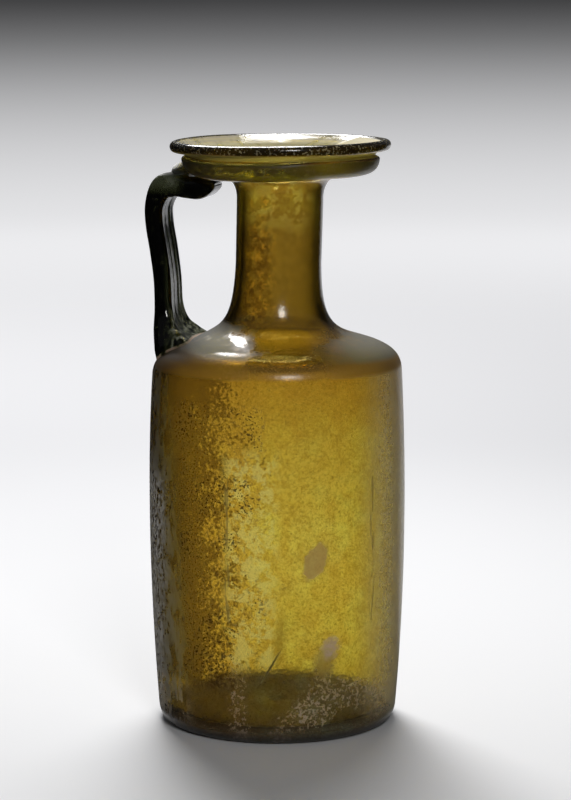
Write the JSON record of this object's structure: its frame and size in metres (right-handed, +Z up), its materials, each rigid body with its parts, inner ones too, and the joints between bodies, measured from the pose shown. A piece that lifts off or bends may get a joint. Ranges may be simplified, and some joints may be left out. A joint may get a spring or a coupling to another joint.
{
  "type": "glass pitcher",
  "caption": "Free-blown glass jug: tall cylindrical body, narrow neck, dished mouth with a folded collar, and a strap handle from shoulder to collar.",
  "frame": {"origin": "on the body's axis, in the plane that the jug stands on", "axes": "+Z up along the body's axis to the mouth; the handle is on the -X side, and +Y is to the handle's right as seen from outside it, looking at the axis"},
  "size_m": [0.1, 0.099, 0.2254],
  "materials": {
    "amber_glass": "weathered, part frosted, with brown stain and flaked patches",
    "olive_glass": "dense and glossy"
  },
  "bodies": {
    "root": {"vessel": "amber_glass", "handle": "olive_glass"}
  },
  "joints": []
}
